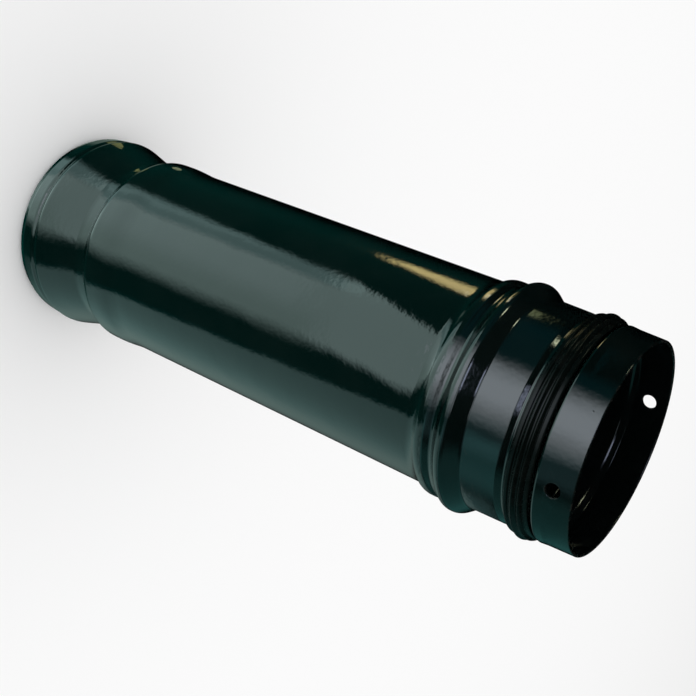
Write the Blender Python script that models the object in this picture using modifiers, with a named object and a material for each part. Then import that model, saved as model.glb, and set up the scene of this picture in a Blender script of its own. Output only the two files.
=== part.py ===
"""A length of black enamelled stove pipe, with the ribbed rubber seal on its spigot.

The pipe is one pressed tube of sheet steel. It stands on the rim of its flared collar, which
takes the next pipe's end, with its own spigot upwards. The origin is the middle of that rim, +Z
runs up the pipe's axis, and all values are in metres. One of the two screw holes faces -Y, and
the other faces +Y.

The sections are listed from the collar's rim up. A height or a depth is measured from the body
tube's outer side, so the whole pipe follows the tube's diameter.
"""

import math
from collections import namedtuple

import bpy
from mathutils import Matrix, Vector

MM = 0.001

# Sheet and body tube
WALL = 1.2 * MM
BODY_DIAMETER = 80.0 * MM
BODY_LENGTH = 148.0 * MM

# Flared collar at the lower end
COLLAR_RIM_HEIGHT = 0.3 * MM
COLLAR_CROWN_HEIGHT = 2.95 * MM
COLLAR_FLARE_LENGTH = 7.5 * MM
COLLAR_CROWN_LENGTH = 4.0 * MM
COLLAR_TAPER_LENGTH = 20.5 * MM
COLLAR_FILLET = 6.0 * MM

# Neck between the collar and the shoulder
NECK_DEPTH = 2.6 * MM
NECK_LENGTH = 4.6 * MM
NECK_FILLET = 8.0 * MM

# Shoulder ring that steps out of the neck and runs down to the body tube
SHOULDER_HEIGHT = 0.9 * MM
SHOULDER_RISE_LENGTH = 4.3 * MM
SHOULDER_CROWN_LENGTH = 8.7 * MM
SHOULDER_FALL_LENGTH = 7.4 * MM
SHOULDER_FOOT_FILLET = 0.8 * MM
SHOULDER_FILLET = 4.0 * MM

# Small bead above the body tube
BEAD_HEIGHT = 2.2 * MM
BEAD_RISE_LENGTH = 3.5 * MM
BEAD_CROWN_LENGTH = 3.9 * MM
BEAD_FALL_LENGTH = 3.0 * MM
BEAD_FILLET = 3.0 * MM

# Narrow valley and the large bulge that stops the spigot at the next pipe's rim
VALLEY_HEIGHT = 1.3 * MM
VALLEY_FILLET = 1.0 * MM
BULGE_HEIGHT = 4.3 * MM
BULGE_RISE_LENGTH = 2.4 * MM
BULGE_CROWN_LENGTH = 2.8 * MM
BULGE_FALL_LENGTH = 4.8 * MM
BULGE_FILLET = 2.4 * MM

# Spigot wall, which narrows a little towards the seal's seat
SPIGOT_START_HEIGHT = 0.4 * MM
SPIGOT_END_DEPTH = 0.1 * MM
SPIGOT_LENGTH = 17.7 * MM
SPIGOT_FILLET = 2.0 * MM

# Seat pressed into the spigot for the seal, with its depth measured from the spigot's end
SEAT_DEPTH = 1.5 * MM
SEAT_FALL_LENGTH = 1.2 * MM
SEAT_LENGTH = 6.8 * MM
SEAT_RISE_LENGTH = 2.3 * MM
SEAT_FILLET = 1.0 * MM

# Lip between the seat and the mouth
LIP_HEIGHT = 0.6 * MM
LIP_LENGTH = 12.6 * MM
LIP_FILLET = 1.0 * MM
MOUTH_DEPTH = 0.5 * MM

# Two screw holes through the lip, opposite each other
SCREW_HOLE_DIAMETER = 5.5 * MM
SCREW_HOLE_FROM_MOUTH = 7.0 * MM
SCREW_HOLE_SIDES = 16

# Rubber seal in the seat. Its ribs are listed from the spigot's wall to the lip, by their height
# above the spigot's end. Each rib is made of a flank, a crown, a flank and a root, which are
# equally long.
RIB_HEIGHTS = (1.4 * MM, 2.4 * MM, 1.7 * MM, 1.0 * MM)
RIB_DEPTH = 0.4 * MM
RUNS_PER_RIB = 4
SEAL_CLEARANCE = 0.3 * MM
SEAL_TO_LIP = 1.6 * MM

# Fineness of the mesh
STEPS_ROUND = 48
FILLET_STEP = math.radians(22)
SMALLEST_FILLET = WALL / 4
RUN_SHARE = 0.48
MERGE_DISTANCE = 0.0001
SHARP_ANGLE = math.radians(45)

ENAMEL_COLOUR = (0.006, 0.011, 0.011, 1.0)
ENAMEL_ROUGHNESS = 0.2
RUBBER_COLOUR = (0.004, 0.006, 0.005, 1.0)
RUBBER_ROUGHNESS = 0.45

Corner = namedtuple("Corner", "z radius fillet")


def clear_scene():
    """Remove whatever the scene holds."""
    for obj in list(bpy.data.objects):
        bpy.data.objects.remove(obj, do_unlink=True)


def new_collection(name, in_render=True):
    """A collection linked to the scene."""
    collection = bpy.data.collections.new(name)
    collection.hide_render = not in_render
    bpy.context.scene.collection.children.link(collection)
    return collection


def plain_material(name, colour, roughness):
    """A material with one colour and one gloss."""
    material = bpy.data.materials.new(name)
    material.use_nodes = True
    shader = material.node_tree.nodes["Principled BSDF"]
    shader.inputs["Base Color"].default_value = colour
    shader.inputs["Roughness"].default_value = roughness
    shader.inputs["Metallic"].default_value = 0.0
    return material


def add_corner(corners, length, height, fillet=0.0):
    """Add a corner this far up from the last one and this high above the body tube."""
    corners.append(Corner(corners[-1].z + length, BODY_DIAMETER / 2 + height, fillet))


def add_collar(corners):
    """The flare from the rim, the rounded crown and the taper down to the neck."""
    add_corner(corners, COLLAR_FLARE_LENGTH, COLLAR_CROWN_HEIGHT, COLLAR_FILLET)
    add_corner(corners, COLLAR_CROWN_LENGTH, COLLAR_CROWN_HEIGHT, COLLAR_FILLET)
    add_corner(corners, COLLAR_TAPER_LENGTH, -NECK_DEPTH, NECK_FILLET)


def add_shoulder(corners):
    """The step out of the neck, the raised ring and its run down to the body tube."""
    add_corner(corners, NECK_LENGTH, -NECK_DEPTH, SHOULDER_FOOT_FILLET)
    add_corner(corners, SHOULDER_RISE_LENGTH, SHOULDER_HEIGHT, SHOULDER_FILLET)
    add_corner(corners, SHOULDER_CROWN_LENGTH, SHOULDER_HEIGHT, SHOULDER_FILLET)
    add_corner(corners, SHOULDER_FALL_LENGTH, 0.0, SHOULDER_FILLET)


def add_stop_beads(corners):
    """The body tube, the small bead, the narrow valley and the large bulge."""
    add_corner(corners, BODY_LENGTH, 0.0, BEAD_FILLET)
    add_corner(corners, BEAD_RISE_LENGTH, BEAD_HEIGHT, BEAD_FILLET)
    add_corner(corners, BEAD_CROWN_LENGTH, BEAD_HEIGHT, BEAD_FILLET)
    add_corner(corners, BEAD_FALL_LENGTH, VALLEY_HEIGHT, VALLEY_FILLET)
    add_corner(corners, BULGE_RISE_LENGTH, BULGE_HEIGHT, BULGE_FILLET)
    add_corner(corners, BULGE_CROWN_LENGTH, BULGE_HEIGHT, BULGE_FILLET)
    add_corner(corners, BULGE_FALL_LENGTH, SPIGOT_START_HEIGHT, SPIGOT_FILLET)


def add_spigot(corners):
    """The spigot's wall, the seal's seat and the lip that ends at the mouth."""
    seat_floor = -SPIGOT_END_DEPTH - SEAT_DEPTH
    add_corner(corners, SPIGOT_LENGTH, -SPIGOT_END_DEPTH, SEAT_FILLET)
    add_corner(corners, SEAT_FALL_LENGTH, seat_floor, SEAT_FILLET)
    add_corner(corners, SEAT_LENGTH, seat_floor, SEAT_FILLET)
    add_corner(corners, SEAT_RISE_LENGTH, LIP_HEIGHT, LIP_FILLET)
    add_corner(corners, LIP_LENGTH, -MOUTH_DEPTH)


def pipe_corners():
    """The corners of the pipe's outer side, from the collar's rim up to the mouth."""
    corners = [Corner(0.0, BODY_DIAMETER / 2 + COLLAR_RIM_HEIGHT, 0.0)]
    add_collar(corners)
    add_shoulder(corners)
    add_stop_beads(corners)
    add_spigot(corners)
    return corners


def seal_corners(spigot_end, seat_start, seat_end, lip):
    """The corners of the seal's outer side, from its lower foot over the ribs to its upper foot."""
    foot = -SPIGOT_END_DEPTH - SEAT_DEPTH + SEAL_CLEARANCE
    shoulder = -SPIGOT_END_DEPTH + SEAL_CLEARANCE
    foot_z = seat_start.z + SEAL_CLEARANCE
    head_z = spigot_end.z + SEAL_CLEARANCE
    head_length = lip.z - SEAL_TO_LIP - head_z
    run = head_length / (RUNS_PER_RIB * len(RIB_HEIGHTS) - 1)
    corners = [Corner(foot_z, BODY_DIAMETER / 2 + foot, 0.0)]
    add_corner(corners, head_z - foot_z, shoulder)
    for rib, height in enumerate(RIB_HEIGHTS):
        crown = height - SPIGOT_END_DEPTH
        if rib:
            root = min(height, RIB_HEIGHTS[rib - 1]) - SPIGOT_END_DEPTH - RIB_DEPTH
            add_corner(corners, run, root)
            add_corner(corners, run, root)
        add_corner(corners, run, crown)
        add_corner(corners, run, crown)
    add_corner(corners, run, shoulder)
    add_corner(corners, seat_end.z - SEAL_CLEARANCE - corners[-1].z, foot)
    return corners


def spots_and_runs(corners):
    """The corners as (radius, z) points, and the direction of each run between them."""
    spots = [Vector((corner.radius, corner.z)) for corner in corners]
    runs = [(upper - lower).normalized() for lower, upper in zip(spots, spots[1:])]
    return spots, runs


def outward(run):
    """The direction away from the axis, square to a run that goes up the outline."""
    return Vector((run.y, -run.x))


def inner_corners(corners):
    """The outline moved towards the axis by the sheet's thickness, with its fillets to match."""
    spots, runs = spots_and_runs(corners)
    moved = [Corner(corners[0].z, corners[0].radius - WALL / outward(runs[0]).x, 0.0)]
    for corner, spot, before, after in zip(corners[1:-1], spots[1:-1], runs, runs[1:]):
        facing = outward(before) + outward(after)
        spot = spot - facing * WALL / (1 + before.dot(after))
        bulges = before.cross(after) > 0
        fillet = max(corner.fillet - WALL, SMALLEST_FILLET) if bulges else corner.fillet + WALL
        moved.append(Corner(spot.y, spot.x, fillet))
    moved.append(Corner(corners[-1].z, corners[-1].radius - WALL / outward(runs[-1]).x, 0.0))
    return moved


def fillet_points(corner, spot, before, after, longest):
    """The points of the arc that rounds one corner of the outline."""
    turn = before.angle(after, 0.0)
    segments = round(turn / FILLET_STEP)
    if segments == 0 or corner.fillet == 0:
        return [spot]
    tangent = min(corner.fillet * math.tan(turn / 2), longest)
    radius = tangent / math.tan(turn / 2)
    side = 1 if before.cross(after) > 0 else -1
    centre = spot - before * tangent - outward(before) * radius * side
    points = []
    for step in range(segments + 1):
        angle = turn * step / segments * side
        spoke = Matrix.Rotation(angle, 2) @ outward(before)
        points.append(centre + spoke * radius * side)
    return points


def rounded(corners):
    """The outline's points, with an arc at each corner, from the lowest corner up."""
    spots, runs = spots_and_runs(corners)
    points = [spots[0]]
    for index in range(1, len(corners) - 1):
        below = (spots[index] - spots[index - 1]).length
        above = (spots[index + 1] - spots[index]).length
        longest = min(below, above) * RUN_SHARE
        points += fillet_points(corners[index], spots[index], runs[index - 1], runs[index], longest)
    points.append(spots[-1])
    return points


def turned_solid(name, outline, collection):
    """A closed outline at +X, turned round the Z axis."""
    count = len(outline)
    mesh = bpy.data.meshes.new(name)
    mesh.from_pydata(
        [(point.x, 0.0, point.y) for point in outline],
        [(index, (index + 1) % count) for index in range(count)],
        [],
    )
    solid = bpy.data.objects.new(name, mesh)
    collection.objects.link(solid)
    screw = solid.modifiers.new("turn", "SCREW")
    screw.axis = "Z"
    screw.angle = 2 * math.pi
    screw.steps = STEPS_ROUND
    screw.render_steps = STEPS_ROUND
    screw.use_merge_vertices = True
    screw.merge_threshold = MERGE_DISTANCE
    return solid


def screw_hole_cutter(mouth_z, collection):
    """One cylinder along Y, long enough to cut both screw holes."""
    bpy.ops.mesh.primitive_cylinder_add(
        vertices=SCREW_HOLE_SIDES,
        radius=SCREW_HOLE_DIAMETER / 2,
        depth=BODY_DIAMETER + 2 * SCREW_HOLE_DIAMETER,
        location=(0.0, 0.0, mouth_z - SCREW_HOLE_FROM_MOUTH),
        rotation=(math.pi / 2, 0.0, 0.0),
    )
    cutter = bpy.context.object
    cutter.name = "screw_hole_cutter"
    cutter.hide_render = True
    cutter.display_type = "WIRE"
    for holder in list(cutter.users_collection):
        holder.objects.unlink(cutter)
    collection.objects.link(cutter)
    return cutter


def cut(solid, cutter):
    """Take the cutter's shape out of the solid."""
    boolean = solid.modifiers.new("screw_holes", "BOOLEAN")
    boolean.operation = "DIFFERENCE"
    boolean.solver = "EXACT"
    boolean.object = cutter


def finish(solid, material):
    """Apply the modifiers, shade the round faces smooth and give the solid its material."""
    graph = bpy.context.evaluated_depsgraph_get()
    mesh = bpy.data.meshes.new_from_object(solid.evaluated_get(graph))
    solid.modifiers.clear()
    solid.data = mesh
    mesh.name = solid.name
    mesh.shade_smooth()
    mesh.set_sharp_from_angle(angle=SHARP_ANGLE)
    mesh.materials.clear()
    mesh.materials.append(material)


def build_pipe(corners, parts, cutters):
    """The pipe: its turned wall, then its two screw holes."""
    outline = list(reversed(rounded(corners))) + rounded(inner_corners(corners))
    pipe = turned_solid("pipe", outline, parts)
    cut(pipe, screw_hole_cutter(corners[-1].z, cutters))
    finish(pipe, plain_material("enamel", ENAMEL_COLOUR, ENAMEL_ROUGHNESS))


def build_seal(corners, parts):
    """The rubber seal, which sits in the seat with its ribs standing proud of the spigot."""
    spigot_end, seat_start, seat_end, lip, _ = corners[-5:]
    outline = rounded(seal_corners(spigot_end, seat_start, seat_end, lip))
    seal = turned_solid("seal", list(reversed(outline)), parts)
    finish(seal, plain_material("rubber", RUBBER_COLOUR, RUBBER_ROUGHNESS))


def build_stove_pipe():
    """The whole object."""
    parts = new_collection("stove_pipe")
    cutters = new_collection("cutters", in_render=False)
    corners = pipe_corners()
    build_pipe(corners, parts, cutters)
    build_seal(corners, parts)


clear_scene()
build_stove_pipe()
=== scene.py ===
"""The looks of the black enamelled stove pipe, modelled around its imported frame.

The pipe is one turned sheet-steel shell with a glossy enamel, and the seal is a ribbed ring of
rubber in the seat near its mouth. Both stand on the collar's rim at the origin, +Z runs up the
pipe's axis, and all values are in metres unless a name says otherwise.
"""

import logging
import math
from dataclasses import dataclass, field
from enum import Enum

import bpy
from mathutils import Matrix, Vector


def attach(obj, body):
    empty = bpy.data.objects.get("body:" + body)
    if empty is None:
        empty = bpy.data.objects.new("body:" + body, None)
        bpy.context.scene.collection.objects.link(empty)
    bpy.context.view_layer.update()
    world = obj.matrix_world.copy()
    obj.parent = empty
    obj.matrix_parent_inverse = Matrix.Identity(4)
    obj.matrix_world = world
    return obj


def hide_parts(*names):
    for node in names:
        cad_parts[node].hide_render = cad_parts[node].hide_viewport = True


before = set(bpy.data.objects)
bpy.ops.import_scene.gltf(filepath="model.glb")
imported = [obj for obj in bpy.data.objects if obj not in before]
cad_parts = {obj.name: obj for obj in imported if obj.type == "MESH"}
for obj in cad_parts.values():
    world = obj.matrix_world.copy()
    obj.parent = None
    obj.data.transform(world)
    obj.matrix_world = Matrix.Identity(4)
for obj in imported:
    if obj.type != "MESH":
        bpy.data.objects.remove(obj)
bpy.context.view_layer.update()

MM = 0.001
ROOT_BODY = "root"

LOG = logging.getLogger("stove_pipe")

Colour = tuple[float, float, float]
Span = tuple[float, float]
Piece = bpy.types.Object
Material = bpy.types.Material
Nodes = bpy.types.NodeTree
Node = bpy.types.Node
Link = bpy.types.NodeSocket
Sockets = bpy.types.bpy_prop_collection


class Slot(Enum):
    """The material slots."""

    ENAMEL = "enamel"
    RUBBER = "rubber"


class Kind(Enum):
    """The kinds of socket that the shader groups have."""

    NUMBER = "NodeSocketFloat"
    COLOUR = "NodeSocketColor"


@dataclass(frozen=True)
class Corner:
    """A corner of a turned outline.

    Attributes:
        z: Its height above the collar's rim.
        radius: Its distance from the pipe's axis.
        fillet: The radius of the arc that rounds it.
    """

    z: float
    radius: float
    fillet: float = 0.0

    @property
    def spot(self) -> Vector:
        """The corner as a point in the plane of the outline."""
        return Vector((self.radius, self.z))


@dataclass(frozen=True)
class Ring:
    """One edge loop of a turned mesh.

    Attributes:
        z: Its height.
        radius: Its radius.
        bevel: How wide it is bevelled, or 0 where it stays as it is.
    """

    z: float
    radius: float
    bevel: float = 0.0


def deselect_all() -> None:
    """Leave object mode with nothing selected."""
    if bpy.context.mode != "OBJECT":
        bpy.ops.object.mode_set(mode="OBJECT")
    bpy.ops.object.select_all(action="DESELECT")


def make_active(piece: Piece) -> None:
    """Select one piece alone and make it the active one.

    Args:
        piece: The piece.
    """
    deselect_all()
    piece.select_set(True)
    bpy.context.view_layer.objects.active = piece


def apply_modifier(piece: Piece, modifier: bpy.types.Modifier) -> None:
    """Apply one modifier to its piece."""
    make_active(piece)
    bpy.ops.object.modifier_apply(modifier=modifier.name)


def settle(piece: Piece, slot: Slot, *nodes: str) -> None:
    """Hand a finished piece to the frame: its body and the nodes that it stands for, and log its
    slot.

    Args:
        piece: The finished piece, at the origin.
        slot: The material slot of its finish, which is only logged.
        nodes: The frame's nodes that it replaces.
    """
    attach(piece, ROOT_BODY)
    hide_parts(*nodes)
    triangles = sum(len(face.vertices) - 2 for face in piece.data.polygons)
    stands_for = ", ".join(nodes)
    LOG.info("%s: %d triangles, slot %s, for %s", piece.name, triangles, slot.value, stands_for)


def outward(run: Vector) -> Vector:
    """The direction away from the axis, square to a run that goes up the outline."""
    return Vector((run.y, -run.x))


def inner_side(outer: list[Corner], wall: float, smallest: float) -> list[Corner]:
    """The inside of a sheet whose outside is given, from the lowest corner up.

    Args:
        outer: The corners of the outside, from the lowest up.
        wall: The sheet's thickness.
        smallest: The smallest fillet that the inside has.

    Returns:
        The corners of the inside, from the lowest up.
    """
    first = outer[0]
    last = outer[-1]
    spots = [corner.spot for corner in outer]
    runs = [(upper - lower).normalized() for lower, upper in zip(spots, spots[1:])]
    inside = [Corner(first.z, first.radius - wall / outward(runs[0]).x, first.fillet)]
    for corner, before, after in zip(outer[1:-1], runs, runs[1:]):
        spot = corner.spot - (outward(before) + outward(after)) * wall / (1 + before.dot(after))
        bulges = before.cross(after) > 0
        fillet = max(corner.fillet - wall, smallest) if bulges else corner.fillet + wall
        inside.append(Corner(spot.y, spot.x, fillet))
    inside.append(Corner(last.z, last.radius - wall / outward(runs[-1]).x, last.fillet))
    return inside


@dataclass
class TurnedBody:
    """A closed body of revolution, turned from the corners of its section.

    Attributes:
        name: The piece's name.
        corners: The section's corners in order, up the outside and down the inside.
        sides: How many sides the body has round the axis.
        fillet_segments: How many faces each fillet has.
        holding: How far past a fillet a plain run gets its own edge loop, to stay truly straight.
        run_share: The most of a run that one fillet may take.
        clearing: The change that takes any bevel weight down to 0.
    """

    name: str
    corners: list[Corner]
    sides: int = 176
    fillet_segments: int = 8
    holding: float = 0.25 * MM
    run_share: float = 0.48
    clearing: float = -1.0

    def tangent(self, index: int) -> float:
        """How far along its two runs the fillet of one corner reaches.

        Args:
            index: The corner's place in the section.

        Returns:
            The reach, which is no more than the runs can spare.
        """
        corner = self.corners[index]
        before = corner.spot - self.corners[index - 1].spot
        after = self.corners[(index + 1) % len(self.corners)].spot - corner.spot
        longest = min(before.length, after.length) * self.run_share
        return min(corner.fillet * math.tan(before.angle(after, 0.0) / 2), longest)

    def rings(self) -> list[Ring]:
        """The edge loops to extrude: each corner, and one near each end of a plain run.

        Returns:
            The loops in order, once round the section.
        """
        loops = []
        count = len(self.corners)
        for index, corner in enumerate(self.corners):
            loops.append(Ring(corner.z, corner.radius, self.tangent(index)))
            run = self.corners[(index + 1) % count].spot - corner.spot
            start = self.tangent(index) + self.holding
            end = run.length - self.tangent((index + 1) % count) - self.holding
            if end - start > self.holding:
                spots = [corner.spot + run.normalized() * distance for distance in (start, end)]
                loops += [Ring(spot.y, spot.x) for spot in spots]
        return loops

    def mark_bevel(self, ring: Ring, widest: float) -> None:
        """Give the selected edge loop its own weight in place of the one it was extruded with."""
        bpy.ops.transform.edge_bevelweight(value=self.clearing)
        bpy.ops.transform.edge_bevelweight(value=ring.bevel / widest)

    def extrude_rings(self, rings: list[Ring], widest: float) -> Piece:
        """Start from a circle, extrude it from ring to ring and close the last ring to the first.

        Args:
            rings: The edge loops in order.
            widest: The width that a bevel weight of 1 stands for.

        Returns:
            The turned piece, with its corners still sharp.
        """
        first = rings[0]
        deselect_all()
        bpy.ops.mesh.primitive_circle_add(
            vertices=self.sides, radius=first.radius, fill_type="NOTHING"
        )
        body = bpy.context.object
        body.name = self.name
        body.data.name = self.name
        bpy.ops.object.mode_set(mode="EDIT")
        bpy.ops.mesh.select_mode(type="EDGE")
        bpy.ops.mesh.select_all(action="SELECT")
        bpy.ops.transform.translate(value=(0.0, 0.0, first.z))
        self.mark_bevel(first, widest)
        for ring, following in zip(rings, rings[1:]):
            rise = following.z - ring.z
            change = following.radius / ring.radius
            middle = (0.0, 0.0, following.z)
            bpy.ops.mesh.extrude_edges_move(TRANSFORM_OT_translate={"value": (0.0, 0.0, rise)})
            bpy.ops.transform.resize(value=(change, change, 1.0), center_override=middle)
            self.mark_bevel(following, widest)
        bpy.ops.mesh.select_all(action="DESELECT")
        bpy.ops.mesh.select_non_manifold()
        bpy.ops.mesh.bridge_edge_loops()
        bpy.ops.mesh.select_all(action="SELECT")
        bpy.ops.mesh.normals_make_consistent(inside=False)
        bpy.ops.object.mode_set(mode="OBJECT")
        return body

    def build(self) -> Piece:
        """Turn the body and round its corners.

        Returns:
            The closed and filleted object, at the origin.
        """
        rings = self.rings()
        widest = max(ring.bevel for ring in rings)
        body = self.extrude_rings(rings, widest)
        bevel = body.modifiers.new("fillets", "BEVEL")
        bevel.limit_method = "WEIGHT"
        bevel.width = widest
        bevel.segments = self.fillet_segments
        bevel.use_clamp_overlap = False
        apply_modifier(body, bevel)
        return body


@dataclass
class PipeShell:
    """The sheet-steel pipe with its collar, shoulder, stop beads, spigot and lip.

    The runs of its outside follow each other from the collar's rim up. A length, fall, rise, crown
    or start is how far a run goes up the pipe. A height or a depth is how far the run's upper end
    stands out from the body tube's outer side or lies below it. A fillet rounds a corner.
    """

    wall: float = 1.2 * MM
    body_radius: float = 40.0 * MM
    body_length: float = 148.0 * MM
    rim_height: float = 0.3 * MM
    flare_length: float = 3.5 * MM
    band_start_height: float = 1.8 * MM
    band_length: float = 5.1 * MM
    band_end_height: float = 2.3 * MM
    band_fillet: float = 2.0 * MM
    groove_fall: float = 1.6 * MM
    groove_height: float = 1.6 * MM
    groove_rise: float = 2.0 * MM
    groove_fillet: float = 0.6 * MM
    crown_height: float = 2.95 * MM
    taper_length: float = 19.8 * MM
    collar_fillet: float = 12.0 * MM
    neck_depth: float = 2.6 * MM
    neck_length: float = 4.6 * MM
    neck_fillet: float = 8.0 * MM
    shoulder_height: float = 0.9 * MM
    shoulder_rise: float = 4.3 * MM
    shoulder_crown: float = 8.7 * MM
    shoulder_fall: float = 7.4 * MM
    shoulder_foot_fillet: float = 0.8 * MM
    shoulder_crown_fillet: float = 4.5 * MM
    shoulder_fall_fillet: float = 50.0 * MM
    bead_height: float = 2.2 * MM
    bead_rise: float = 3.5 * MM
    bead_crown: float = 2.9 * MM
    bead_fall: float = 3.0 * MM
    bead_foot_fillet: float = 8.0 * MM
    bead_fillet: float = 3.5 * MM
    valley_height: float = 1.3 * MM
    valley_fillet: float = 2.0 * MM
    bulge_height: float = 4.3 * MM
    bulge_rise: float = 3.4 * MM
    bulge_crown: float = 2.4 * MM
    bulge_fall: float = 4.9 * MM
    bulge_fillet: float = 2.4 * MM
    spigot_start_height: float = 0.4 * MM
    spigot_end_height: float = 0.05 * MM
    spigot_length: float = 13.8 * MM
    spigot_fillet: float = 2.0 * MM
    dip_fall: float = 2.1 * MM
    dip_depth: float = 0.85 * MM
    dip_rise: float = 0.5 * MM
    dip_end_depth: float = 0.6 * MM
    dip_fillet: float = 1.4 * MM
    seat_depth: float = 1.6 * MM
    seat_fall: float = 2.8 * MM
    seat_length: float = 6.8 * MM
    seat_rise: float = 1.8 * MM
    seat_edge_fillet: float = 0.4 * MM
    seat_fillet: float = 1.0 * MM
    lip_height: float = 0.55 * MM
    lip_start: float = 3.1 * MM
    lip_side_height: float = 0.2 * MM
    lip_length: float = 10.0 * MM
    lip_fillet: float = 1.0 * MM
    mouth_depth: float = 0.2 * MM
    edge_fillet: float = 0.35 * MM
    smallest_fillet: float = 0.3 * MM
    hole_radius: float = 2.75 * MM
    hole_from_mouth: float = 7.0 * MM
    hole_sides: int = 64
    cutter_length: float = 160.0 * MM
    hole_chamfer: float = 0.35 * MM
    hole_edge_angle: float = math.radians(60.0)
    smooth_angle: float = math.radians(40.0)
    outer: list[Corner] = field(default_factory=list)

    def __post_init__(self) -> None:
        """Work out the corners of the outside."""
        self.outer = [Corner(0.0, self.body_radius + self.rim_height, self.edge_fillet)]
        self.add_collar()
        self.add_shoulder()
        self.add_stop_beads()
        self.add_spigot()

    def add(self, length: float, height: float, fillet: float) -> None:
        """Add the next corner, a length above the last and a height out from the body tube."""
        self.outer.append(Corner(self.outer[-1].z + length, self.body_radius + height, fillet))

    def add_collar(self) -> None:
        """Add the flare, the rim's band, the groove behind it and the taper down to the neck."""
        self.add(self.flare_length, self.band_start_height, self.band_fillet)
        self.add(self.band_length, self.band_end_height, self.band_fillet)
        self.add(self.groove_fall, self.groove_height, self.groove_fillet)
        self.add(self.groove_rise, self.crown_height, self.collar_fillet)
        self.add(self.taper_length, -self.neck_depth, self.neck_fillet)

    def add_shoulder(self) -> None:
        """Add the neck, the step out of it, the raised ring and its run down to the tube."""
        self.add(self.neck_length, -self.neck_depth, self.shoulder_foot_fillet)
        self.add(self.shoulder_rise, self.shoulder_height, self.shoulder_crown_fillet)
        self.add(self.shoulder_crown, self.shoulder_height, self.shoulder_fall_fillet)
        self.add(self.shoulder_fall, 0.0, self.shoulder_fall_fillet)

    def add_stop_beads(self) -> None:
        """Add the body tube, the bead, the valley and the bulge."""
        self.add(self.body_length, 0.0, self.bead_foot_fillet)
        self.add(self.bead_rise, self.bead_height, self.bead_fillet)
        self.add(self.bead_crown, self.bead_height, self.bead_fillet)
        self.add(self.bead_fall, self.valley_height, self.valley_fillet)
        self.add(self.bulge_rise, self.bulge_height, self.bulge_fillet)
        self.add(self.bulge_crown, self.bulge_height, self.bulge_fillet)
        self.add(self.bulge_fall, self.spigot_start_height, self.spigot_fillet)

    def add_spigot(self) -> None:
        """Add the spigot's wall, the dip, the seal's seat and the lip that ends at the mouth."""
        self.add(self.spigot_length, self.spigot_end_height, self.dip_fillet)
        self.add(self.dip_fall, -self.dip_depth, self.dip_fillet)
        self.add(self.dip_rise, -self.dip_end_depth, self.seat_edge_fillet)
        self.add(self.seat_fall, -self.seat_depth, self.seat_fillet)
        self.add(self.seat_length, -self.seat_depth, self.seat_fillet)
        self.add(self.seat_rise, self.lip_height, self.lip_fillet)
        self.add(self.lip_start, self.lip_side_height, self.spigot_fillet)
        self.add(self.lip_length, -self.mouth_depth, self.edge_fillet)

    @property
    def mouth_z(self) -> float:
        """The height of the mouth."""
        return self.outer[-1].z

    @property
    def hole_z(self) -> float:
        """The height of the screw holes' middle."""
        return self.mouth_z - self.hole_from_mouth

    def cut_screw_holes(self, pipe: Piece) -> None:
        """Cut the two screw holes, which lie opposite each other along Y.

        Args:
            pipe: The turned pipe.
        """
        deselect_all()
        bpy.ops.mesh.primitive_cylinder_add(
            vertices=self.hole_sides,
            radius=self.hole_radius,
            depth=self.cutter_length,
            location=(0.0, 0.0, self.hole_z),
            rotation=(math.pi / 2, 0.0, 0.0),
        )
        cutter = bpy.context.object
        boolean = pipe.modifiers.new("screw_holes", "BOOLEAN")
        boolean.operation = "DIFFERENCE"
        boolean.solver = "EXACT"
        boolean.object = cutter
        apply_modifier(pipe, boolean)
        bpy.data.objects.remove(cutter, do_unlink=True)
        chamfer = pipe.modifiers.new("hole_chamfers", "BEVEL")
        chamfer.limit_method = "ANGLE"
        chamfer.angle_limit = self.hole_edge_angle
        chamfer.width = self.hole_chamfer
        chamfer.segments = 1
        apply_modifier(pipe, chamfer)

    def build(self) -> Piece:
        """Turn the shell and cut its holes.

        Returns:
            The finished pipe.
        """
        inside = inner_side(self.outer, self.wall, self.smallest_fillet)
        pipe = TurnedBody("enamelled_pipe", self.outer + inside[::-1]).build()
        self.cut_screw_holes(pipe)
        make_active(pipe)
        bpy.ops.object.shade_smooth_by_angle(angle=self.smooth_angle)
        return pipe


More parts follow.
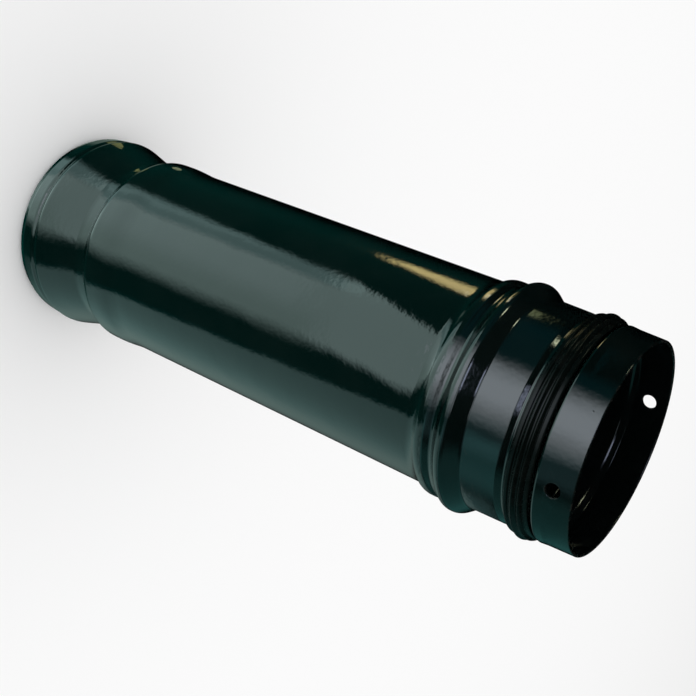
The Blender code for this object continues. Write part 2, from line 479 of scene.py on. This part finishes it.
@dataclass
class RibbedSeal:
    """The rubber seal in the pipe's seat, with its ribs proud of the spigot.

    Attributes:
        pipe: The shell whose seat it lies in.
        ribs_mm: The corners of the ribs and grooves from the spigot's side to the lip's: how far
            above the seal's edge each lies, and how far it stands out from the body tube.
        clearance: The gap between the seal and its seat.
        rib_fillet: The radius that rounds the ribs and the grooves.
        fillet_segments: How many faces each fillet has.
        smooth_angle: The sharpest edge that is shaded smooth.
    """

    pipe: PipeShell
    ribs_mm: tuple[Span, ...] = (
        (1.20, 1.35), (2.30, 1.35), (2.60, 0.95), (3.10, 0.95), (4.20, 2.35),
        (4.70, 2.35), (5.40, 1.25), (5.90, 1.25), (6.50, 1.70), (6.90, 1.70),
        (7.50, 0.10), (7.70, 0.10), (7.90, 0.40), (9.20, 0.30), (9.55, -0.25),
    )
    clearance: float = 0.3 * MM
    rib_fillet: float = 0.3 * MM
    fillet_segments: int = 4
    smooth_angle: float = math.radians(60.0)

    def section(self) -> list[Corner]:
        """The corners of the seal's section, up its outside; the last run closes it inside.

        Returns:
            The corners in order.
        """
        edge, seat_start, seat_end = self.pipe.outer[-6:-3]
        foot = seat_start.radius + self.clearance
        start = Corner(edge.z + self.clearance, edge.radius + self.clearance, self.rib_fillet)
        corners = [Corner(seat_start.z + self.clearance, foot, self.rib_fillet), start]
        for above, height in self.ribs_mm:
            radius = self.pipe.body_radius + height * MM
            corners.append(Corner(start.z + above * MM, radius, self.rib_fillet))
        corners.append(Corner(seat_end.z - self.clearance, foot, self.rib_fillet))
        return corners

    def build(self) -> Piece:
        """Turn the seal.

        Returns:
            The finished seal.
        """
        turned = TurnedBody("ribbed_seal", self.section(), fillet_segments=self.fillet_segments)
        seal = turned.build()
        make_active(seal)
        bpy.ops.object.shade_smooth_by_angle(angle=self.smooth_angle)
        return seal


def new_node(tree: Nodes, kind: str, **settings: object) -> Node:
    """Add a node and set its properties.

    Args:
        tree: The node tree.
        kind: The node's type.
        settings: Its properties by name.

    Returns:
        The node.
    """
    node = tree.nodes.new(kind)
    for name, value in settings.items():
        setattr(node, name, value)
    return node


def feed(tree: Nodes, socket: Link, value: object) -> None:
    """Give an input socket a plain value, or link another node's output to it.

    Args:
        tree: The node tree.
        socket: The input socket.
        value: A number, a tuple or an output socket.
    """
    if isinstance(value, bpy.types.NodeSocket):
        tree.links.new(value, socket)
    elif isinstance(value, tuple) and len(value) == 3 and len(socket.default_value) == 4:
        socket.default_value = (*value, 1.0)
    else:
        socket.default_value = value


def feed_all(tree: Nodes, node: Node, **values: object) -> Node:
    """Feed several inputs of a node.

    Args:
        tree: The node tree.
        node: The node.
        values: What feeds each input, by its name with an underscore for each space.

    Returns:
        The node.
    """
    for name, value in values.items():
        feed(tree, node.inputs[name.replace("_", " ")], value)
    return node


def calculate(tree: Nodes, operation: str, *values: object) -> Link:
    """Add a Math node.

    Args:
        tree: The node tree.
        operation: The node's operation.
        values: Its inputs in order.

    Returns:
        Its output.
    """
    node = new_node(tree, "ShaderNodeMath", operation=operation)
    for socket, value in zip(node.inputs, values):
        feed(tree, socket, value)
    return node.outputs["Value"]


def blend(tree: Nodes, mask: Link, first: object, second: object) -> Link:
    """Mix two colours by a mask.

    Args:
        tree: The node tree.
        mask: The mask.
        first: The colour where the mask is 0.
        second: The colour where the mask is 1.

    Returns:
        The mixed colour.
    """
    node = new_node(tree, "ShaderNodeMix", data_type="RGBA")
    feed(tree, node.inputs["Factor"], mask)
    sides = [socket for socket in node.inputs if socket.type == "RGBA"]
    feed(tree, sides[0], first)
    feed(tree, sides[1], second)
    return next(socket for socket in node.outputs if socket.type == "RGBA")


def ramp(
    tree: Nodes, value: Link, start: object, end: object, low: float = 0.0, high: float = 1.0
) -> Link:
    """Turn a range of a value softly into another range.

    Args:
        tree: The node tree.
        value: The value.
        start: Where the range starts.
        end: Where the range ends.
        low: What is put out at the start.
        high: What is put out at the end.

    Returns:
        The new value.
    """
    node = new_node(tree, "ShaderNodeMapRange", interpolation_type="SMOOTHSTEP")
    feed_all(tree, node, Value=value, From_Min=start, From_Max=end, To_Min=low, To_Max=high)
    return node.outputs["Result"]


def own_place(tree: Nodes) -> Link:
    """The place of each point in the object's own coordinates."""
    return new_node(tree, "ShaderNodeTexCoord").outputs["Object"]


def noise(tree: Nodes, size: Link, detail: float = 1.0, roughness: float = 0.4) -> Link:
    """A noise on the object's own coordinates, with bumps of one width.

    Args:
        tree: The node tree.
        size: The bumps' width.
        detail: How many finer layers it has.
        roughness: How strong those are.

    Returns:
        Its value, about 0.5.
    """
    scale = calculate(tree, "DIVIDE", 1.0, size)
    node = new_node(tree, "ShaderNodeTexNoise")
    feed_all(tree, node, Vector=own_place(tree), Scale=scale, Detail=detail, Roughness=roughness)
    return node.outputs["Fac"]


def new_group(
    name: str, inputs: dict[str, Kind], outputs: dict[str, Kind]
) -> tuple[Nodes, Sockets, Sockets]:
    """Make an empty shader group with its named sockets.

    Args:
        name: The group's name.
        inputs: The kinds of its inputs by name.
        outputs: The kinds of its outputs by name.

    Returns:
        The group's tree, what it is given and what it puts out.
    """
    tree = bpy.data.node_groups.new(name, "ShaderNodeTree")
    for label, kind in inputs.items():
        tree.interface.new_socket(name=label, in_out="INPUT", socket_type=kind.value)
    for label, kind in outputs.items():
        tree.interface.new_socket(name=label, in_out="OUTPUT", socket_type=kind.value)
    return tree, new_node(tree, "NodeGroupInput").outputs, new_node(tree, "NodeGroupOutput").inputs


def place_group(tree: Nodes, group: Nodes, **values: object) -> Node:
    """Place a shader group in a material and feed its inputs, as feed_all does."""
    return feed_all(tree, new_node(tree, "ShaderNodeGroup", node_tree=group), **values)


def new_material(name: str) -> tuple[Material, Nodes, Node]:
    """Make a material with a Principled shader.

    Args:
        name: The material's name.

    Returns:
        The material, its tree and its Principled node.
    """
    material = bpy.data.materials.new(name)
    material.use_nodes = True
    tree = material.node_tree
    return material, tree, tree.nodes["Principled BSDF"]


def dress(piece: Piece, material: Material) -> None:
    """Give a piece its material."""
    piece.data.materials.clear()
    piece.data.materials.append(material)


def dress_inside(piece: Piece, inside: Material, least: float = 0.3) -> None:
    """Give the faces that look at the pipe's axis a material of their own.

    Args:
        piece: The dressed piece.
        inside: The material of those faces.
        least: How squarely a face has to look at the axis, where 1 is straight at it.
    """
    piece.data.materials.append(inside)
    for face in piece.data.polygons:
        outwards = face.center.xy.normalized().dot(face.normal.xy)
        face.material_index = int(outwards < -least)


@dataclass(frozen=True)
class Patchiness:
    """How a noise breaks up into patches.

    Attributes:
        detail: How many finer layers the noise has.
        roughness: How strong those are.
        bare: The noise's value up to which there is no patch.
        full: The value from which a patch is full.
    """

    detail: float
    roughness: float
    bare: float
    full: float

    def mask(self, tree: Nodes, size: Link) -> Link:
        """The mask of such patches, as wide as the given size."""
        return ramp(tree, noise(tree, size, self.detail, self.roughness), self.bare, self.full)


class CoatGroups:
    """The effects that more than one finish uses, each a shader group.

    Attributes:
        soft_patches: How soft dust and handling lie.
        fine_specks: How the specks among them lie.
        worn_grain: How the wear along an edge is broken up.
    """

    soft_patches = Patchiness(3.0, 0.55, 0.38, 0.66)
    fine_specks = Patchiness(2.0, 0.60, 0.56, 0.68)
    worn_grain = Patchiness(3.0, 0.60, 0.42, 0.60)

    def __init__(self) -> None:
        """Build each group once."""
        self.peel = self.build_peel()
        self.nibs = self.build_nibs()
        self.clouds = self.build_clouds()
        self.wear = self.build_wear()

    def build_peel(self) -> Nodes:
        """Orange peel: the low, soft bumps that a fired coat dries with, over slower waves.

        Returns:
            The group.
        """
        inputs = {"Size": Kind.NUMBER, "Waviness Size": Kind.NUMBER, "Waviness": Kind.NUMBER}
        tree, given, out = new_group("orange_peel", inputs, {"Height": Kind.NUMBER})
        fine = noise(tree, given["Size"])
        broad = noise(tree, given["Waviness Size"])
        waves = calculate(tree, "MULTIPLY", broad, given["Waviness"])
        feed(tree, out["Height"], calculate(tree, "ADD", fine, waves))
        return tree

    def build_nibs(self) -> Nodes:
        """Nibs: specks of dust that the coat has run over, each a small raised dot.

        Returns:
            The group.
        """
        inputs = {"Spacing": Kind.NUMBER, "Width": Kind.NUMBER}
        tree, given, out = new_group("nibs", inputs, {"Height": Kind.NUMBER})
        scale = calculate(tree, "DIVIDE", 1.0, given["Spacing"])
        cells = new_node(tree, "ShaderNodeTexVoronoi")
        feed_all(tree, cells, Vector=own_place(tree), Scale=scale)
        share = calculate(tree, "DIVIDE", given["Width"], given["Spacing"])
        dots = ramp(tree, cells.outputs["Distance"], 0.0, share, 1.0, 0.0)
        feed(tree, out["Height"], dots)
        return tree

    def build_clouds(self) -> Nodes:
        """Clouds: soft uneven patches with a finer break-up, as of dust and handling.

        Returns:
            The group.
        """
        inputs = {"Size": Kind.NUMBER, "Speck Size": Kind.NUMBER, "Specks": Kind.NUMBER}
        tree, given, out = new_group("clouds", inputs, {"Mask": Kind.NUMBER})
        soft = self.soft_patches.mask(tree, given["Size"])
        specks = self.fine_specks.mask(tree, given["Speck Size"])
        specks = calculate(tree, "MULTIPLY", specks, given["Specks"])
        feed(tree, out["Mask"], calculate(tree, "MAXIMUM", soft, specks))
        return tree

    def build_wear(self) -> Nodes:
        """Edge wear: a broken line along the pipe's two cut rims and round its screw holes.

        Returns:
            The group.
        """
        names = ("Mouth Height", "Hole Height", "Hole Radius", "Reach", "Grain Size")
        inputs = {name: Kind.NUMBER for name in names}
        tree, given, out = new_group("edge_wear", inputs, {"Mask": Kind.NUMBER})
        place = new_node(tree, "ShaderNodeSeparateXYZ")
        feed(tree, place.inputs[0], own_place(tree))
        height = place.outputs["Z"]
        to_mouth = calculate(tree, "SUBTRACT", given["Mouth Height"], height)
        along = calculate(tree, "SUBTRACT", height, given["Hole Height"])
        squares = [calculate(tree, "MULTIPLY", side, side) for side in (along, place.outputs["X"])]
        from_middle = calculate(tree, "SQRT", calculate(tree, "ADD", *squares))
        to_hole = calculate(tree, "SUBTRACT", from_middle, given["Hole Radius"])
        to_hole = calculate(tree, "ABSOLUTE", to_hole)
        nearest = calculate(tree, "MINIMUM", calculate(tree, "MINIMUM", height, to_mouth), to_hole)
        near = ramp(tree, nearest, 0.0, given["Reach"], 1.0, 0.0)
        broken = self.worn_grain.mask(tree, given["Grain Size"])
        feed(tree, out["Mask"], calculate(tree, "MULTIPLY", near, broken))
        return tree


@dataclass(frozen=True)
class EnamelFinish:
    """Fired near-black enamel, glossy outside or matt on the inside of the tube.

    Attributes:
        name: The material's name.
        colour: The enamel's own colour.
        cloud_colour: Its colour where it is dusty or was handled.
        worn_colour: Its colour where the coat is thin, along the cut edges.
        roughness: How soft its reflections are where it is clean, clouded and worn.
        specular: The strength of its reflections.
        ior: The refractive index of the glassy coat.
        peel_size: The width of the orange peel's bumps.
        peel_height: The height of those bumps.
        wave_size: The width of the sheet's slow unevenness.
        wave_share: How high that unevenness is against the peel.
        nib_spacing: How far apart the nibs are.
        nib_width: How wide they are.
        nib_height: How high they are.
        cloud_size: How wide the clouds are.
        speck_size: How wide the specks in them are.
        speck_share: How strong the specks are against the clouds.
        wear_reach: How far the wear reaches from an edge.
        wear_grain: How wide the breaks in the wear are.
    """

    name: str = "black_enamel"
    colour: Colour = (0.001, 0.0032, 0.003)
    cloud_colour: Colour = (0.0022, 0.0046, 0.0042)
    worn_colour: Colour = (0.0075, 0.0080, 0.0068)
    roughness: tuple[float, float, float] = (0.055, 0.09, 0.30)
    specular: float = 0.5
    ior: float = 1.55
    peel_size: float = 1.6 * MM
    peel_height: float = 0.030 * MM
    wave_size: float = 13.0 * MM
    wave_share: float = 6.0
    nib_spacing: float = 11.0 * MM
    nib_width: float = 0.45 * MM
    nib_height: float = 0.06 * MM
    cloud_size: float = 24.0 * MM
    speck_size: float = 1.3 * MM
    speck_share: float = 0.7
    wear_reach: float = 0.5 * MM
    wear_grain: float = 3.2 * MM

    def material(self, coats: CoatGroups, pipe: PipeShell) -> Material:
        """Make the enamel.

        Args:
            coats: The shared effects.
            pipe: The shell, for the places of its cut edges.

        Returns:
            The material.
        """
        material, tree, shader = new_material(self.name)
        clouds = place_group(
            tree,
            coats.clouds,
            Size=self.cloud_size,
            Speck_Size=self.speck_size,
            Specks=self.speck_share,
        ).outputs["Mask"]
        wear = place_group(
            tree,
            coats.wear,
            Mouth_Height=pipe.mouth_z,
            Hole_Height=pipe.hole_z,
            Hole_Radius=pipe.hole_radius,
            Reach=self.wear_reach,
            Grain_Size=self.wear_grain,
        ).outputs["Mask"]
        clean, clouded, worn = self.roughness
        coat = blend(tree, clouds, self.colour, self.cloud_colour)
        rough = ramp(tree, clouds, 0.0, 1.0, clean, clouded)
        added = calculate(tree, "MULTIPLY", wear, worn - clean)
        feed_all(
            tree,
            shader,
            Base_Color=blend(tree, wear, coat, self.worn_colour),
            Roughness=calculate(tree, "ADD", rough, added),
            IOR=self.ior,
            Specular_IOR_Level=self.specular,
            Normal=self.relief(tree, coats),
        )
        return material

    def relief(self, tree: Nodes, coats: CoatGroups) -> Link:
        """The peel and the nibs as a bumped normal.

        Args:
            tree: The material's node tree.
            coats: The shared effects.

        Returns:
            The normal.
        """
        peel = place_group(
            tree,
            coats.peel,
            Size=self.peel_size,
            Waviness_Size=self.wave_size,
            Waviness=self.wave_share,
        )
        nibs = place_group(tree, coats.nibs, Spacing=self.nib_spacing, Width=self.nib_width)
        share = self.nib_height / self.peel_height
        raised = calculate(tree, "MULTIPLY", nibs.outputs["Height"], share)
        height = calculate(tree, "ADD", peel.outputs["Height"], raised)
        bump = new_node(tree, "ShaderNodeBump")
        feed_all(tree, bump, Distance=self.peel_height, Height=height)
        return bump.outputs["Normal"]


INSIDE_FINISH = EnamelFinish(
    name="black_ground_coat",
    colour=(0.0012, 0.0022, 0.0022),
    cloud_colour=(0.0018, 0.0028, 0.0027),
    roughness=(0.11, 0.20, 0.4),
    specular=0.45,
)


@dataclass(frozen=True)
class RubberFinish:
    """Satin black rubber with a fine moulded grain and a little dust.

    Attributes:
        colour: The rubber's colour.
        dust_colour: Its colour where dust clings to it.
        roughness: How soft its sheen is where it is clean and dusty.
        specular: The strength of its sheen.
        grain_size: The width of the grain.
        grain_height: The height of the grain.
        wave_size: The width of the slow unevenness under the grain.
        wave_share: How high that unevenness is against the grain.
        dust_size: How wide the dusty places are.
        speck_size: How wide the specks of dust are.
        speck_share: How strong the specks are against the dusty places.
    """

    colour: Colour = (0.0012, 0.0026, 0.0022)
    dust_colour: Colour = (0.0026, 0.0040, 0.0035)
    roughness: Span = (0.17, 0.28)
    specular: float = 0.12
    grain_size: float = 0.30 * MM
    grain_height: float = 0.008 * MM
    wave_size: float = 3.0 * MM
    wave_share: float = 1.0
    dust_size: float = 6.0 * MM
    speck_size: float = 0.6 * MM
    speck_share: float = 0.8

    def material(self, coats: CoatGroups) -> Material:
        """Make the rubber.

        Args:
            coats: The shared effects.

        Returns:
            The material.
        """
        material, tree, shader = new_material("black_rubber")
        dust = place_group(
            tree,
            coats.clouds,
            Size=self.dust_size,
            Speck_Size=self.speck_size,
            Specks=self.speck_share,
        ).outputs["Mask"]
        grain = place_group(
            tree,
            coats.peel,
            Size=self.grain_size,
            Waviness_Size=self.wave_size,
            Waviness=self.wave_share,
        )
        bump = new_node(tree, "ShaderNodeBump")
        feed_all(tree, bump, Distance=self.grain_height, Height=grain.outputs["Height"])
        feed_all(
            tree,
            shader,
            Base_Color=blend(tree, dust, self.colour, self.dust_colour),
            Roughness=ramp(tree, dust, 0.0, 1.0, *self.roughness),
            Specular_IOR_Level=self.specular,
            Normal=bump.outputs["Normal"],
        )
        return material


@dataclass(frozen=True)
class Patch:
    """One soft-edged light of the room that the gloss mirrors.

    Attributes:
        azimuths: Where it starts and ends, in degrees from the camera's side, anticlockwise.
        elevations: Where it starts and ends, in degrees above the level of the pipe's middle.
        colour: Its colour and strength.
        side_fades: How many degrees its first and its last side take to fade.
        end_fades: How many degrees its lower and its upper end take to fade.
        leans: How many degrees each side moves on for each degree up from its middle.
    """

    azimuths: Span
    elevations: Span
    colour: Colour
    side_fades: Span
    end_fades: Span
    leans: Span = (0.0, 0.0)

    def inputs(self) -> dict[str, object]:
        """What the patch feeds to its shader group.

        Returns:
            Its numbers and its colour, by the names of the inputs.
        """
        spans = (self.azimuths, self.elevations, self.side_fades, self.end_fades, self.leans)
        values = [float(value) for span in spans for value in span]
        return dict(zip(PATCH_NUMBERS, values, strict=True)) | {"Colour": self.colour}


PATCH_EDGES = {"From": "Azimuth", "To": "Azimuth", "Low": "Elevation", "High": "Elevation"}
PATCH_NUMBERS = (*PATCH_EDGES, *(name + " Fade" for name in PATCH_EDGES), "From Lean", "To Lean")

WINDOW = (
    Patch((-41, 24), (-82, -27), (1.22, 1.68, 1.58), (8, 22), (8, 4)),
    Patch((-45.5, 27), (-27, -15), (1.50, 2.02, 1.95), (7, 13), (4, 1.6), (2.1, 0.75)),
    Patch((-42, -4), (-82, -28), (0.38, 0.46, 0.50), (8, 34), (8, 5)),
)
SIDE_WINDOW = (
    Patch((-65.5, -41.5), (-78, -25.5), (0.80, 1.24, 1.22), (10, 6), (20, 5), (0.45, 0.0)),
    Patch((-58, -52), (-60, -33), (0.20, 0.28, 0.28), (5, 5), (14, 10)),
)
WALL = (
    Patch((61, 142), (-56, -13), (0.42, 0.54, 0.51), (6, 54), (20, 6), (-0.45, 0.0)),
    Patch((60, 116), (-56, -13), (0.00, 0.14, 0.15), (10, 36), (20, 6), (-0.4, 0.0)),
    Patch((60, 140), (-11.2, -8.8), (0.20, 0.27, 0.25), (20, 70), (1.6, 1.6)),
    Patch((112, 145), (-12, -6), (0.09, 0.19, 0.19), (24, 60), (3, 4)),
    Patch((42, 100), (-11, -1), (0.12, 0.42, 0.42), (14, 40), (8, 6)),
    Patch((70, 150), (-2, 50), (0.05, 0.20, 0.19), (24, 20), (10, 10)),
)
SKYLIGHT = (
    Patch((-32, 27), (-15, 18), (1.35, 1.55, 1.65), (18, 20), (1.6, 8)),
    Patch((-23, 12), (-15, 17), (1.75, 1.90, 2.10), (26, 26), (1.6, 8)),
    Patch((22, 58), (-14, 16), (0.12, 0.26, 0.28), (14, 16), (3, 8)),
    Patch((-13, 28), (21.5, 28), (1.80, 2.10, 2.25), (8, 12), (4, 8)),
    Patch((-20, 6), (34, 52), (3.20, 3.60, 4.80), (8, 8), (6, 8)),
)
WARM_LAMPS = (
    Patch((-106.5, -93.7), (-24.5, -14), (4.30, 3.40, 1.45), (10, 9), (3, 3), (0.0, 0.9)),
    Patch((-82, -71), (26.5, 36), (9.00, 9.60, 6.40), (4, 4), (4, 4), (-0.3, -0.3)),
    Patch((-97, -90), (-15.5, -11), (3.00, 3.00, 2.40), (3, 3), (2, 2)),
    Patch((-105, -93), (-10.4, -7.6), (1.00, 1.15, 0.58), (8, 6), (1.6, 3.0)),
)
# This window lies across the seam where 180 degrees meet -180, so it's there from both sides.
BACK_WINDOW = tuple(
    Patch(azimuths, (-80, -8), (1.60, 2.00, 1.95), (6, 6), (16, 10))
    for azimuths in ((171, 200), (-200, -171))
)
DIM_AIR = (
    Patch((-88, -34), (-13, 1), (0.00, 0.09, 0.11), (24, 10), (4, 4)),
    Patch((-51, -34), (1, 24), (0.00, 0.09, 0.11), (16, 10), (4, 10)),
    Patch((-88, -51), (11, 24), (0.00, 0.09, 0.11), (24, 16), (4, 10)),
    Patch((-122, 142), (-90, -13), (0.00, 0.075, 0.06), (40, 30), (2, 4)),
    Patch((-100, 70), (-90, -77), (0.54, 0.70, 0.67), (30, 30), (2, 8)),
    Patch((-190, -112), (-64, -53), (0.21, 0.28, 0.24), (6, 16), (8, 3)),
)


def light_the_gloss(piece: Piece, material: Material, light: object) -> None:
    """Turn a piece into plain light that only reflections see.

    Args:
        piece: The piece.
        material: The material, whose shader is replaced.
        light: Its colour and strength, as a tuple or an output socket.
    """
    tree = material.node_tree
    glow = new_node(tree, "ShaderNodeEmission")
    feed(tree, glow.inputs["Color"], light)
    tree.nodes.remove(tree.nodes["Principled BSDF"])
    feed(tree, tree.nodes["Material Output"].inputs["Surface"], glow.outputs["Emission"])
    material.cycles.emission_sampling = "NONE"
    dress(piece, material)
    for ray in ("camera", "diffuse", "transmission", "volume_scatter", "shadow"):
        setattr(piece, "visible_" + ray, False)


@dataclass(frozen=True)
class NearLamp:
    """A small warm lamp close to the pipe, which only its gloss sees.

    Attributes:
        name: The lamp's name.
        place: Its middle.
        radius: Its radius.
        colour: Its colour and strength.
    """

    name: str
    place: tuple[float, float, float]
    radius: float
    colour: Colour

    def build(self) -> None:
        """Make the lamp."""
        deselect_all()
        bpy.ops.mesh.primitive_uv_sphere_add(radius=self.radius, location=self.place)
        lamp = bpy.context.object
        lamp.name = self.name
        light_the_gloss(lamp, new_material(self.name)[0], self.colour)


NEAR_LAMPS = (
    NearLamp("collar_lamp", (-55.7 * MM, 20.0 * MM, 1.0 * MM), 4.2 * MM, (0.85, 0.93, 0.38)),
    NearLamp("shoulder_lamp", (-52.2 * MM, 31.8 * MM, 25.4 * MM), 3.2 * MM, (0.68, 0.78, 0.46)),
)


class MirroredRoom:
    """The dark room with soft windows that the gloss mirrors. The camera doesn't see it.

    Attributes:
        radius: The radius of the room's wall, a sphere.
        middle: The height of its middle.
        rings: How many rows of faces it has from pole to pole.
        segments: How many faces it has round.
    """

    radius: float = 0.5
    middle: float = 133.0 * MM
    rings: int = 48
    segments: int = 96

    def __init__(self, camera_side: float) -> None:
        """Make the shader group that fades one patch.

        Args:
            camera_side: The azimuth of the camera, in degrees.
        """
        self.camera_side = camera_side
        names = ("Azimuth", "Elevation") + PATCH_NUMBERS
        inputs = {name: Kind.NUMBER for name in names} | {"Colour": Kind.COLOUR}
        tree, given, out = new_group("soft_patch", inputs, {"Light": Kind.COLOUR})
        self.patch = tree
        level = calculate(tree, "ADD", given["Low"], given["High"])
        level = calculate(tree, "MULTIPLY", level, 0.5)
        above = calculate(tree, "SUBTRACT", given["Elevation"], level)
        past = {}
        for name, angle in PATCH_EDGES.items():
            edge = given[name]
            if angle == "Azimuth":
                lean = calculate(tree, "MULTIPLY", above, given[name + " Lean"])
                edge = calculate(tree, "ADD", edge, lean)
            half = calculate(tree, "MULTIPLY", given[name + " Fade"], 0.5)
            start = calculate(tree, "SUBTRACT", edge, half)
            past[name] = ramp(tree, given[angle], start, calculate(tree, "ADD", edge, half))
        across = calculate(tree, "SUBTRACT", past["From"], past["To"])
        up = calculate(tree, "SUBTRACT", past["Low"], past["High"])
        mask = calculate(tree, "MULTIPLY", calculate(tree, "MAXIMUM", across, 0.0), up)
        light = new_node(tree, "ShaderNodeVectorMath", operation="SCALE")
        feed(tree, light.inputs[0], given["Colour"])
        feed(tree, light.inputs["Scale"], mask)
        feed(tree, out["Light"], light.outputs[0])

    def directions(self, tree: Nodes) -> dict[str, Link]:
        """The direction in which each point of the room lies.

        Args:
            tree: The room's node tree.

        Returns:
            Its azimuth and its elevation in degrees, by their names.
        """
        unit = new_node(tree, "ShaderNodeVectorMath", operation="NORMALIZE")
        feed(tree, unit.inputs[0], own_place(tree))
        parts = new_node(tree, "ShaderNodeSeparateXYZ")
        feed(tree, parts.inputs[0], unit.outputs[0])
        azimuth = calculate(tree, "ARCTAN2", parts.outputs["Y"], parts.outputs["X"])
        angles = {"Azimuth": azimuth, "Elevation": calculate(tree, "ARCSINE", parts.outputs["Z"])}
        return {name: calculate(tree, "DEGREES", angle) for name, angle in angles.items()}

    def build(self) -> None:
        """Make the room and add up the light of all its patches."""
        deselect_all()
        bpy.ops.mesh.primitive_uv_sphere_add(
            segments=self.segments,
            ring_count=self.rings,
            radius=self.radius,
            location=(0.0, 0.0, self.middle),
        )
        room = bpy.context.object
        room.name = "mirrored_room"
        room.rotation_euler.z = math.radians(self.camera_side)
        material, tree, _ = new_material("mirrored_room")
        directions = self.directions(tree)
        total = None
        for patch in WINDOW + SIDE_WINDOW + WALL + SKYLIGHT + WARM_LAMPS + BACK_WINDOW + DIM_AIR:
            placed = place_group(tree, self.patch, **directions, **patch.inputs())
            light = placed.outputs["Light"]
            if total is not None:
                both = new_node(tree, "ShaderNodeVectorMath", operation="ADD")
                feed(tree, both.inputs[0], total)
                feed(tree, both.inputs[1], light)
                light = both.outputs[0]
            total = light
        light_the_gloss(room, material, total)


@dataclass(frozen=True)
class PhotoCamera:
    """The camera that stands where the photo's camera stood.

    Attributes:
        side: The azimuth on which it stands, in degrees.
        distance: Its distance from the pipe's axis.
        height: Its height above the collar's rim.
        heading: The azimuth that it looks along, in degrees.
        pitch: How far it looks up, in degrees.
        roll: How far it is turned anticlockwise about its own line of sight, in degrees.
        lens_mm: Its focal length, on a sensor as wide as full frame.
    """

    side: float = -121.0
    distance: float = 0.36297
    height: float = 0.35844
    heading: float = 58.199
    pitch: float = -29.754
    roll: float = 113.233
    lens_mm: float = 54.99

    def build(self) -> None:
        """Make the camera and look through it."""
        data = bpy.data.cameras.new("photo_camera")
        data.lens = self.lens_mm
        camera = bpy.data.objects.new("photo_camera", data)
        bpy.context.scene.collection.objects.link(camera)
        side = math.radians(self.side)
        reach = self.distance
        place = Vector((math.cos(side) * reach, math.sin(side) * reach, self.height))
        turn = Matrix.Rotation(math.radians(self.heading - 90.0), 4, "Z")
        tilt = Matrix.Rotation(math.radians(self.pitch + 90.0), 4, "X")
        roll = Matrix.Rotation(math.radians(self.roll), 4, "Z")
        camera.matrix_world = Matrix.Translation(place) @ turn @ tilt @ roll
        bpy.context.scene.camera = camera


@dataclass(frozen=True)
class Studio:
    """The pale floor and the plain soft light.

    Attributes:
        floor_size: The length of the floor's sides.
        floor_colour: The floor's colour.
        sky_colour: The colour of the even light from all round.
        sky_strength: The strength of that light.
        lamp_height: How high the overhead lamp hangs.
        lamp_size: The length of the lamp's sides.
        lamp_power: The lamp's power in watts.
    """

    floor_size: float = 16.0
    floor_colour: Colour = (0.95, 0.95, 0.95)
    sky_colour: Colour = (1.0, 1.0, 1.0)
    sky_strength: float = 0.86
    lamp_height: float = 2.5
    lamp_size: float = 3.0
    lamp_power: float = 15.0

    def build(self) -> None:
        """Make the floor, the sky and the lamp."""
        deselect_all()
        bpy.ops.mesh.primitive_plane_add(size=self.floor_size)
        floor = bpy.context.object
        floor.name = "floor"
        material, tree, shader = new_material("pale_floor")
        feed_all(
            tree, shader, Base_Color=self.floor_colour, Roughness=1.0, Specular_IOR_Level=0.0
        )
        dress(floor, material)
        floor.visible_glossy = False
        world = bpy.data.worlds.new("even_sky")
        world.use_nodes = True
        sky = world.node_tree.nodes["Background"]
        feed_all(world.node_tree, sky, Strength=self.sky_strength, Color=self.sky_colour)
        bpy.context.scene.world = world
        world.cycles_visibility.glossy = False
        bpy.ops.object.light_add(type="AREA", location=(0.0, 0.0, self.lamp_height))
        lamp = bpy.context.object
        lamp.name = "overhead_lamp"
        lamp.data.size = self.lamp_size
        lamp.data.energy = self.lamp_power
        lamp.visible_glossy = False
        bpy.context.scene.view_settings.view_transform = "Standard"


def main() -> None:
    """Build the pieces in order, then the studio and the camera."""
    logging.basicConfig(level=logging.INFO, format="%(message)s")
    coats = CoatGroups()
    shell = PipeShell()
    pipe = shell.build()
    dress(pipe, EnamelFinish().material(coats, shell))
    dress_inside(pipe, INSIDE_FINISH.material(coats, shell))
    settle(pipe, Slot.ENAMEL, "pipe")
    seal = RibbedSeal(shell).build()
    dress(seal, RubberFinish().material(coats))
    settle(seal, Slot.RUBBER, "seal")
    camera = PhotoCamera()
    camera.build()
    Studio().build()
    MirroredRoom(camera.side).build()
    for lamp in NEAR_LAMPS:
        lamp.build()


if __name__ == "__main__":
    main()
